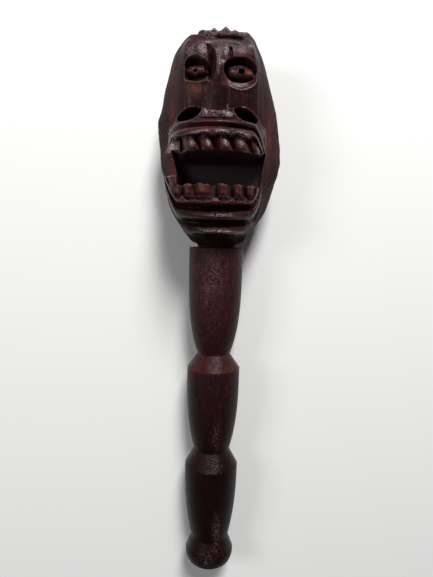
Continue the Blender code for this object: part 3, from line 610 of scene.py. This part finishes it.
def headPoints(rows, columns):
    sideShare = 1.0 - head["crownRows"]
    frontShare = head["frontShare"]
    along = np.linspace(0.0, 1.0, rows)
    around = np.linspace(0.0, 1.0, columns)
    height = rowHeights(np.clip(along / sideShare, 0.0, 1.0))
    t = (around - 0.5) / (0.5 * frontShare)
    frontX = columnPlaces(np.clip(t, -1.0, 1.0), height)
    y = np.repeat(height[:, None], columns, axis=1)
    t = np.repeat(t[None, :], rows, axis=0)
    along = np.repeat(along[:, None], columns, axis=1)

    left = curve(head["leftOutline"], y)
    right = curve(head["rightOutline"], y)
    side = curve(head["sideDepth"], y)
    stem = ramp(5.0, 1.0, y)
    left = left + head["outlineFacets"] * rough(y / 6.0, 0.5 + 0.0 * y, 7)
    right = right + head["outlineFacets"] * rough(y / 6.5, 0.5 + 0.0 * y, 8)
    left = left + (head["neckRadius"] - left) * stem
    right = right + (head["neckRadius"] - right) * stem
    isFront = np.abs(t) <= 1.0
    outline = np.where(frontX < 0.0, curve(head["leftOutline"], y), curve(head["rightOutline"], y))
    frontX = frontX / outline * np.where(frontX < 0.0, left, right)
    widest = np.where(frontX < 0.0, left, right)
    roundFront = side + (curve(head["frontDepth"], y) - side) * dome(np.abs(frontX / widest), 1.0)
    frontZ = frontDepth(frontX, y)
    frontZ = frontZ + (roundFront - frontZ) * stem

    turn = np.clip((np.abs(t) - 1.0) / (1.0 / frontShare - 1.0), 0.0, 1.0) * 0.5 * math.pi
    wide = np.where(t < 0.0, left, right)
    fullness = 1.0 - 0.125 * (1.0 - stem)       # 1 is a plain ellipse, less is squarer
    backX = np.sign(t) * wide * np.cos(turn) ** fullness
    backZ = side - (curve(head["backDepth"], y) + side) * np.sin(turn) ** fullness
    x = np.where(isFront, frontX, backX)
    z = np.where(isFront, frontZ, backZ)

    # locks of hair round the back and the side edges, each cut with finer strands
    bearing = np.where(isFront, 0.0, np.sign(t) * turn)
    wave = bearing * head["locks"] / math.pi * 2.0 + 0.5 * np.sin(y / 21.0) * np.sign(t)
    lock = np.abs(np.sin(0.5 * math.pi * wave)) ** 0.6 - 1.0
    mane = ramp(0.04, 0.25, np.abs(bearing)) * ramp(10.0, 26.0, y)
    strand = np.abs(np.sin(2.0 * math.pi * wave + 0.8 * np.sin(y / 9.0))) - 1.0
    push = (head["lockDepth"] * lock + 0.25 * strand) * mane
    reach = np.hypot(x, z) + 1e-6
    x = x + push * x / reach
    z = z + push * z / reach

    # the crown closes over in shrinking rings
    close = np.clip((along - sideShare) / (1.0 - sideShare), 0.0, 1.0)
    shrink = 1.0 - close ** 1.15
    x = x * shrink
    z = z * shrink
    lift = (1.0 - shrink ** 3) ** (1.0 / 3)
    crown = (head["crownTop"] - head["crownStart"]) * lift
    tuft = tuftHeight(x / np.maximum(shrink, 0.3)) * ramp(159.4, head["crownStart"], y)
    y = y + crown + tuft * ramp(0.6, 0.0, close) * ramp(2.0, 14.0, z)
    return np.stack((x, y, z), axis=-1)


def blur(points, reach):
    # the mean over a few cells of the grid, around and along
    for _ in range(reach):
        points = 0.5 * points + 0.25 * (np.roll(points, 1, axis=1) + np.roll(points, -1, axis=1))
        padded = np.concatenate((points[:1], points, points[-1:]), axis=0)
        points = 0.5 * points + 0.25 * (padded[:-2] + padded[2:])
    return points


def exposure(points, reach):
    # how far each point stands out of its surroundings, in millimetres; hollows are below 0
    alongGrid = np.gradient(points, axis=0)
    aroundGrid = np.gradient(points, axis=1)
    normal = np.cross(aroundGrid, alongGrid)
    normal = blur(normal, 1)
    normal = normal / (np.linalg.norm(normal, axis=-1, keepdims=True) + 1e-9)
    return np.sum((points - blur(points, reach)) * normal, axis=-1)


def cavityDepth(z):
    # how far a place lies below the wood on all four sides of it
    sides = (np.maximum.accumulate(z, axis=1), np.maximum.accumulate(z[:, ::-1], axis=1)[:, ::-1],
             np.maximum.accumulate(z, axis=0), np.maximum.accumulate(z[::-1], axis=0)[::-1])
    return np.minimum.reduce(sides) - z


warmAndLitPlaces = (      # across, up, half width, half height, how far the bare wood's warm red shows; on the eyes, teeth, lips and the mouth's left wall it is partly painted light on their lit sides
    (-18.5, 119.5, 6.0, 4.5, 0.45), (15.0, 145.5, 6.0, 3.2, 0.5), (5.0, 126.5, 3.0, 3.5, 0.5),
    (21.0, 132.0, 4.5, 4.0, 0.65), (-16.0, 136.0, 7.0, 3.4, 0.55), (0.0, 43.0, 30.0, 5.0, 0.5),
    (0.0, 35.0, 24.0, 2.4, 0.7), (-35.0, 62.0, 5.0, 9.0, 1.0), (38.5, 84.0, 3.5, 18.0, 0.6),
    (-36.0, 104.0, 3.5, 16.0, 0.3), (-12.0, 86.0, 22.0, 2.4, 0.3), (18.0, 16.0, 12.0, 4.0, 0.3),
    (0.0, 76.0, 33.0, 4.0, 0.7), (-36.0, 130.0, 3.0, 14.0, 0.3))
glintPlaces = (     # the same, for painted glints and reflections: pale stipple where highlights fall on the brows, nose, lips, teeth and chin
    (-34.6, 75.6, 5.4, 5.4, 0.8), (-13.5, 145.5, 3.0, 4.4, 0.60), (-22.5, 146.5, 4.0, 3.4, 0.30),
    (-9.5, 152.6, 3.6, 0.9, 0.6), (4.0, 145.6, 1.2, 3.8, 1.0), (-1.0, 143.0, 2.4, 5.0, 0.35),
    (-1.6, 134.0, 0.8, 4.0, 0.35), (21.6, 150.4, 1.4, 1.6, 0.7), (14.0, 146.5, 4.0, 2.4, 0.25),
    (13.0, 122.6, 7.5, 1.3, 0.55), (6.6, 125.4, 1.2, 1.4, 0.8), (-10.2, 97.8, 1.8, 2.8, 0.9),
    (6.6, 96.2, 2.6, 1.8, 0.8), (-2.2, 99.2, 1.3, 0.9, 0.8), (-1.0, 96.4, 12.0, 2.6, 0.20),
    (-12.6, 136.9, 2.6, 0.8, 0.8), (12.0, 137.8, 6.0, 0.8, 0.45),
    (-12.0, 83.4, 7.0, 0.9, 0.7), (2.0, 83.2, 6.0, 1.0, 1.0), (18.4, 82.6, 5.0, 1.7, 1.0),
    (-19.8, 77.0, 1.5, 2.6, 0.75), (-7.2, 76.8, 1.4, 3.0, 0.85), (5.4, 76.8, 1.4, 3.0, 0.85),
    (16.6, 77.0, 1.5, 2.6, 0.8), (30.2, 73.6, 1.3, 3.6, 0.9), (3.0, 13.4, 12.0, 1.0, 0.9),
    (-6.0, 13.9, 3.0, 1.0, 0.9), (27.0, 20.0, 3.0, 3.0, 0.5), (-37.0, 46.0, 1.4, 4.0, 0.5),
    (-1.0, 39.0, 24.0, 0.7, 0.4), (6.0, 24.6, 12.0, 0.7, 0.5), (0.0, 160.0, 22.0, 2.6, 0.25))
darkToneAndShadePlaces = (    # the same, for a darker tone over the nose and cheeks, and painted shade in the grooves under the lips, under the chin and on the side planes
    (0.0, 111.0, 33.0, 13.0, 0.8), (-2.0, 128.0, 5.0, 9.0, 0.4), (-33.0, 120.0, 8.0, 40.0, 0.4),
    (33.0, 118.0, 6.0, 36.0, 0.4), (0.0, 20.0, 34.0, 3.4, 0.7), (0.0, 30.0, 34.0, 2.6, 0.5),
    (0.0, 6.0, 30.0, 5.0, 0.6))
mattPlaces = (      # the same, for places where the varnish has lost its shine
    (0.0, 150.5, 26.0, 4.5, 0.6), (16.0, 146.0, 8.0, 5.0, 0.5), (-20.0, 118.0, 8.0, 8.0, 0.4),
    (-31.0, 128.0, 4.5, 32.0, 0.8), (31.5, 128.0, 4.5, 32.0, 0.8), (-8.0, 120.0, 3.6, 14.0, 0.7),
    (15.0, 131.0, 9.0, 4.0, 0.75))
darkPlaces = (      # the same, for painted shade: the drilled pupils, under the brows and under the left eye
    (-18.9, 132.9, 2.2, 2.2, 1.0), (15.9, 132.9, 2.2, 2.2, 1.0), (13.0, 140.8, 9.0, 1.2, 0.7),
    (-18.0, 139.6, 7.0, 1.2, 0.6), (-16.0, 128.0, 8.0, 1.6, 0.6))


def spots(places, x, y):
    share = np.zeros_like(x)
    for across, up, wide, high, most in places:
        share = np.maximum(share, most * hill(x, across, wide) * hill(y, up, high))
    return share


def surfaceLayers(points):
    # how much painted edge highlight, dust and painted shade, warm wood and painted light, painted glint,
    # matt varnish, and darker tone with painted shade each place has, from 0 to 1
    x, y, z = points[..., 0], points[..., 1], points[..., 2]
    forward = ramp(-6.0, 2.0, z)
    # painted highlight on the mane's cut ridges
    ridgeHighlights = (1.0 - maneStrands(x, y)) * np.clip(1.6 * maneCuts(x, y), 0.0, 1.0)
    ridgeHighlights = 1.4 * ridgeHighlights * ramp(30.0, 38.0, np.abs(x)) * forward
    # painted highlight along the nostril rims
    rim = hill(y, curve(jaw["arch"], np.abs(x - head["faceCentre"])) - 0.6, 0.6)
    rim = rim * ramp(8.0, 12.0, np.abs(x)) * ramp(40.0, 46.0, z)
    # painted shade under the upper teeth
    roof = ramp(71.9, 71.2, y) * ramp(60.0, 64.0, y) * ramp(54.0, 50.0, z)
    roof = roof * ramp(-31.5, -29.0, x) * ramp(33.5, 31.0, x)
    # painted highlight on the edges that stand out of their surroundings
    proud = exposure(points, 3) / 0.25
    # dust and painted shade in hollows that lie below the wood round them
    cavity = (cavityDepth(z) - 2.0) / 9.0
    dark = spots(darkPlaces, x, y) * forward
    return {
        "edgeHighlight": np.clip(np.maximum.reduce((proud, ridgeHighlights, rim)), 0.0, 1.0),
        "hollowShade": np.clip(np.maximum.reduce((cavity, roof, dark)), 0.0, 1.0),
        "warmAndLit": spots(warmAndLitPlaces, x, y) * forward,
        "glint": spots(glintPlaces, x, y) * forward,
        "matt": np.maximum(ramp(28.0, 22.0, z), spots(mattPlaces, x, y)),
        "darkToneAndShade": spots(darkToneAndShadePlaces, x, y) * forward,
    }


def makeHead(material):
    rows, columns = head["rows"], head["columns"]
    points = headPoints(rows, columns)
    grid = bmesh.new()
    bmesh.ops.create_grid(grid, x_segments=columns - 1, y_segments=rows - 1, size=0.5)
    column = np.rint((np.array([vert.co.x for vert in grid.verts]) + 0.5) * (columns - 1)).astype(int)
    row = np.rint((np.array([vert.co.y for vert in grid.verts]) + 0.5) * (rows - 1)).astype(int)
    place = row * columns + column
    for vert, point in zip(grid.verts, points.reshape(-1, 3)[place]):
        vert.co = point
    for name, values in surfaceLayers(points).items():
        layer = grid.verts.layers.float.new(name)
        for vert, value in zip(grid.verts, values.reshape(-1)[place]):
            vert[layer] = value
    bmesh.ops.remove_doubles(grid, verts=grid.verts[:], dist=1e-4)
    bmesh.ops.holes_fill(grid, edges=[edge for edge in grid.edges if edge.is_boundary], sides=0)
    layOnFloor(grid)
    bmesh.ops.triangulate(grid, faces=[face for face in grid.faces if len(face.verts) > 4])
    bmesh.ops.recalc_face_normals(grid, faces=grid.faces[:])
    return finishPiece(grid, "carved_face_and_mane", material, 60)


def layOnFloor(work):
    # lay an upright piece down and cut the flat spot that it rests on
    bmesh.ops.transform(work, matrix=layDown, verts=work.verts[:])
    whole = work.verts[:] + work.edges[:] + work.faces[:]
    bmesh.ops.bisect_plane(work, geom=whole, plane_co=(0, 0, 0), plane_no=(0, 0, -1), clear_outer=True)
    bmesh.ops.holes_fill(work, edges=[edge for edge in work.edges if edge.is_boundary], sides=0)


def finishPiece(work, name, material, sharpAngle):
    mesh = bpy.data.meshes.new(name)
    work.to_mesh(mesh)
    work.free()
    mesh.shade_smooth()
    mesh.set_sharp_from_angle(angle=math.radians(sharpAngle))
    mesh.materials.append(material)
    piece = bpy.data.objects.new(name, mesh)
    bpy.context.scene.collection.objects.link(piece)
    return piece


def shaftOutline():
    # (height, radius) from the flat top down, with the crisp corners a little worn
    edge = shaft["edgeRound"]
    first = shaft["sections"][0][0]
    outline = [(0.0, first - shaft["rimRound"]), (-0.18, first - 0.18), (-shaft["rimRound"], first)]
    height = 0.0
    for number, (wide, length, waist, bow, chamfer) in enumerate(shaft["sections"]):
        if number:
            outline.append((height + 0.8 * edge, wide - 0.75 * edge))
            outline.append((height, wide - 0.15 * edge))
            outline.append((height - edge, wide))
        for step in range(1, shaft["taperSteps"] + 1):
            share = step / shaft["taperSteps"]
            if share * length > 2.0:
                outline.append((height - length * share, wide - (wide - waist) * share ** bow))
        height -= length + chamfer
    for step in range(shaft["knobSteps"] + 1):
        share = step / shaft["knobSteps"]
        radius = shaft["knobRadius"] - (shaft["knobRadius"] - shaft["knobEdge"]) * share ** shaft["knobBow"]
        outline.append((height - shaft["knobRoll"] * share, radius))
    height -= shaft["knobRoll"]
    rim = shaft["knobEdge"] - 0.5
    for step in range(shaft["knobSteps"] + 1):
        turn = 0.5 * math.pi * step / shaft["knobSteps"]
        radius = shaft["footRadius"] + (rim - shaft["footRadius"]) * math.cos(turn) ** shaft["footFullness"]
        outline.append((height - 0.3 - shaft["footRound"] * math.sin(turn), radius))
    return outline


def chamferShare(height):
    # 1 on the chamfers, where the finish is rubbed through, fading to 0 on the barrels
    share = 0.0
    top = 0.0
    for wide, length, waist, bow, chamfer in shaft["sections"]:
        middle = top - length - 0.5 * chamfer
        share = max(share, float(ramp(0.5 * chamfer + 1.0, 0.5 * chamfer - 0.6, abs(height - middle))))
        top -= length + chamfer
    return share


# across, up, half width, half height, how strong the painted glint specks are; the specks are drawn coarser
# than real glints so that they show
glintSpeckPlaces = (
    (-2.0, -20.0, 9.0, 26.0, 0.16), (4.0, -160.0, 3.0, 12.0, 0.2), (6.0, -247.0, 3.0, 14.0, 0.4),
    (-2.0, -272.0, 6.0, 3.0, 0.25), (3.5, -96.0, 2.0, 5.0, 0.5), (-3.0, -182.5, 1.1, 3.6, 1.0),
    (3.5, -183.0, 1.3, 4.0, 1.0))


def makeShaft(material):
    outline = shaftOutline()
    lathe = bmesh.new()
    line = [lathe.verts.new((0.0, outline[0][0], 0.0))]
    line += [lathe.verts.new((radius, height, 0.0)) for height, radius in outline]
    line.append(lathe.verts.new((0.0, outline[-1][0], 0.0)))
    edges = [lathe.edges.new(pair) for pair in zip(line, line[1:])]
    bmesh.ops.spin(lathe, geom=line + edges, cent=(0, 0, 0), axis=(0, 1, 0), angle=2 * math.pi,
                   steps=shaft["sides"], use_merge=True)
    bmesh.ops.remove_doubles(lathe, verts=lathe.verts[:], dist=1e-4)
    rubbed = lathe.verts.layers.float.new("rubbed")
    glintSpecks = lathe.verts.layers.float.new("glintSpecks")
    for vert in lathe.verts:
        vert[rubbed] = chamferShare(vert.co.y)
        vert[glintSpecks] = float(spots(glintSpeckPlaces, vert.co.x, vert.co.y)) if vert.co.z > 0.0 else 0.0
    layOnFloor(lathe)
    bmesh.ops.recalc_face_normals(lathe, faces=lathe.faces[:])
    return finishPiece(lathe, "turned_handle", material, 25)


# Finishes

def alongGrain(tree, across, along):
    # object coordinates turned so that Y follows the staff; one unit is across or along millimetres
    coordinates = addNode(tree, "TexCoord").outputs["Object"]
    turned = addNode(tree, "Mapping", {"Vector": coordinates, "Rotation": (-tilt, 0.0, 0.0)})
    scale = (1.0 / (across * mm), 1.0 / (along * mm), 1.0 / (across * mm))
    return addNode(tree, "Mapping", {"Vector": turned.outputs["Vector"], "Scale": scale}).outputs["Vector"]


def blendColors(tree, factor, first, second):
    node = addNode(tree, "Mix", data_type="RGBA")
    for index, value in ((0, factor), (6, first), (7, second)):
        if isinstance(value, bpy.types.NodeSocket):
            tree.links.new(value, node.inputs[index])
        else:
            node.inputs[index].default_value = value
    return node.outputs[2]


def noise(tree, vector, detail, roughness=0.5):
    return addNode(tree, "TexNoise", {"Vector": vector, "Scale": 1.0, "Detail": detail,
                                      "Roughness": roughness}).outputs["Fac"]


def remap(tree, value, low, high, least=0.0, most=1.0):
    # least where the value is low or less, most where it is high or more
    return addNode(tree, "MapRange", {"Value": value, "From Min": low, "From Max": high,
                                      "To Min": least, "To Max": most}).outputs["Result"]


def combine(tree, operation, *values):
    return addNode(tree, "Math", dict(enumerate(values)), operation=operation).outputs[0]


def layerShare(tree, name):
    return addNode(tree, "Attribute", attribute_name=name).outputs["Fac"]


carvingFinish = {
    "dark": "1B0C0F",       # the two browns of the grain
    "light": "361B1F",
    "patches": "40201F",
    "darkToneAndShade": "160A0C",
    "worn": "7A5153",
    "warmAndLit": "6B3626",
    "glintColour": "D2BCC1",
    "dustAndShade": "33282A",
    "roughness": (0.12, 0.34),      # of the varnish between the tool marks and on them
    "mattRoughness": 0.46,          # what a matt place adds to that
    "specular": 0.15,
}
turningFinish = {
    "dark": "220F12",
    "light": "371A20",
    "scratched": "5A3838",
    "patches": "6A3420",
    "rubbed": "55291F",
    "foot": "100506",
    "glintSpeckColour": "A08488",
    "roughness": (0.30, 0.50),
    "rubbedRoughness": -0.18,
    "specular": 0.09,
}


def varnishedCarving():
    # dense purple-brown hardwood, carved and varnished dark: gloss that breaks up on the tool marks, dull
    # with dust and painted shade in the hollows, painted highlights on the edges and painted glints, redder
    # where hands have rubbed it and lighter where light falls
    material, tree, shader = newMaterial("varnished carved rosewood")
    finish = carvingFinish
    edgeHighlight, hollowShade, warmAndLit, glint, matt, darkToneAndShade = (
        layerShare(tree, name) for name in ("edgeHighlight", "hollowShade", "warmAndLit", "glint", "matt", "darkToneAndShade"))
    grain = noise(tree, alongGrain(tree, 1.3, 22.0), 5.0, 0.6)
    patches = noise(tree, alongGrain(tree, 14.0, 26.0), 3.0)
    speckle = noise(tree, alongGrain(tree, 1.0, 1.0), 3.0, 0.7)
    tooling = noise(tree, alongGrain(tree, 1.6, 2.2), 4.0, 0.65)

    grainShare = remap(tree, grain, 0.36, 0.66)
    base = blendColors(tree, grainShare, linear(finish["dark"]), linear(finish["light"]))
    base = blendColors(tree, remap(tree, patches, 0.50, 0.72, most=0.6), base, linear(finish["patches"]))
    # a darker tone over the nose and cheeks, and painted shade in the grooves, under the chin and on the
    # side planes
    base = blendColors(tree, darkToneAndShade, base, linear(finish["darkToneAndShade"]))
    # painted highlight: the edges are painted pale lilac
    base = blendColors(tree, remap(tree, edgeHighlight, 0.50, 1.0, most=0.35), base, linear(finish["worn"]))
    # the bare wood's warm red, partly painted light where the eyes, teeth and lips are lit
    warmAndLitShare = combine(tree, "MULTIPLY", warmAndLit, remap(tree, grain, 0.3, 0.6, least=0.3))
    base = blendColors(tree, warmAndLitShare, base, linear(finish["warmAndLit"]))
    # painted glints: pale stipple where highlights and reflections fall
    glintShare = combine(tree, "MULTIPLY", glint, remap(tree, speckle, 0.44, 0.62))
    base = blendColors(tree, glintShare, base, linear(finish["glintColour"]))
    # dust and painted shade in the hollows, under the teeth, in the pupils and under the brows
    base = blendColors(tree, remap(tree, hollowShade, 0.0, 0.9, most=0.9), base, linear(finish["dustAndShade"]))
    tree.links.new(base, shader.inputs["Base Color"])

    gloss = remap(tree, tooling, 0.3, 0.7, *finish["roughness"])
    roughness = combine(tree, "MULTIPLY_ADD", matt, finish["mattRoughness"], gloss)
    tree.links.new(roughness, shader.inputs["Roughness"])
    pores = addNode(tree, "Bump", {"Height": grain, "Strength": 0.4, "Distance": 0.25 * mm})
    marks = addNode(tree, "Bump", {"Height": tooling, "Strength": 0.6, "Distance": 0.45 * mm,
                                   "Normal": pores.outputs["Normal"]})
    dents = addNode(tree, "Bump", {"Height": speckle, "Strength": glint, "Distance": 0.8 * mm,
                                   "Normal": marks.outputs["Normal"]})
    tree.links.new(dents.outputs["Normal"], shader.inputs["Normal"])
    shader.inputs["Specular IOR Level"].default_value = finish["specular"]
    shader.inputs["IOR"].default_value = 1.5
    return material


def varnishedTurning():
    # the same wood turned: satin, with fine grain along it, sanded across at a slant, painted darker
    # towards the foot as shade, rubbed through to orange-brown on the chamfers, with pale specks painted as
    # glints
    material, tree, shader = newMaterial("varnished turned rosewood")
    finish = turningFinish
    rubbed, glintSpecks = (layerShare(tree, name) for name in ("rubbed", "glintSpecks"))
    grain = noise(tree, alongGrain(tree, 0.9, 30.0), 5.0, 0.6)
    patches = noise(tree, alongGrain(tree, 6.0, 8.0), 4.0)
    tooling = noise(tree, alongGrain(tree, 1.7, 1.7), 2.0, 0.7)
    # sanding scratches cross at a slant; they are drawn about a millimetre wide so that they show
    crossing = []
    for angle in (0.95, -0.75):
        slant = addNode(tree, "Mapping", {"Vector": alongGrain(tree, 0.9, 0.9), "Scale": (1.0, 0.09, 1.0),
                                          "Rotation": (0.0, 0.0, angle)})
        crossing.append(noise(tree, slant.outputs["Vector"], 3.0))
    scratches = combine(tree, "MAXIMUM", *crossing)
    coordinates = addNode(tree, "TexCoord").outputs["Object"]
    height = addNode(tree, "SeparateXYZ", {"Vector": coordinates}).outputs["Y"]

    grainShare = remap(tree, grain, 0.36, 0.66)
    base = blendColors(tree, grainShare, linear(finish["dark"]), linear(finish["light"]))
    scratchShare = remap(tree, scratches, 0.58, 0.72, most=0.40)
    base = blendColors(tree, scratchShare, base, linear(finish["scratched"]))
    base = blendColors(tree, remap(tree, patches, 0.60, 0.72, most=0.4), base, linear(finish["patches"]))
    rubbedShare = combine(tree, "MULTIPLY", rubbed, remap(tree, patches, 0.40, 0.62, 0.15, 0.75))
    base = blendColors(tree, rubbedShare, base, linear(finish["rubbed"]))
    # painted shade: darker towards the foot
    base = blendColors(tree, remap(tree, height, 0.02, -0.13, most=0.9), base, linear(finish["foot"]))
    # painted glints: pale specks on the barrels, chamfers and knob
    glintSpeckShare = combine(tree, "MULTIPLY", glintSpecks, remap(tree, tooling, 0.48, 0.60))
    base = blendColors(tree, glintSpeckShare, base, linear(finish["glintSpeckColour"]))
    tree.links.new(base, shader.inputs["Base Color"])

    gloss = remap(tree, tooling, 0.3, 0.7, *finish["roughness"])
    roughness = combine(tree, "MULTIPLY_ADD", rubbed, finish["rubbedRoughness"], gloss)
    tree.links.new(roughness, shader.inputs["Roughness"])
    marks = addNode(tree, "Bump", {"Height": tooling, "Strength": 1.0, "Distance": 0.6 * mm})
    lines = addNode(tree, "Bump", {"Height": scratches, "Strength": 0.4, "Distance": 0.3 * mm,
                                   "Normal": marks.outputs["Normal"]})
    tree.links.new(lines.outputs["Normal"], shader.inputs["Normal"])
    shader.inputs["Specular IOR Level"].default_value = finish["specular"]
    shader.inputs["IOR"].default_value = 1.5
    return material


carving = makeHead(varnishedCarving())
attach(carving, "root")
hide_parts("carved_head")
print("head:", len(carving.data.polygons), "faces")

handle = makeShaft(varnishedTurning())
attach(handle, "root")
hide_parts("turned_shaft")
print("handle:", len(handle.data.polygons), "faces")
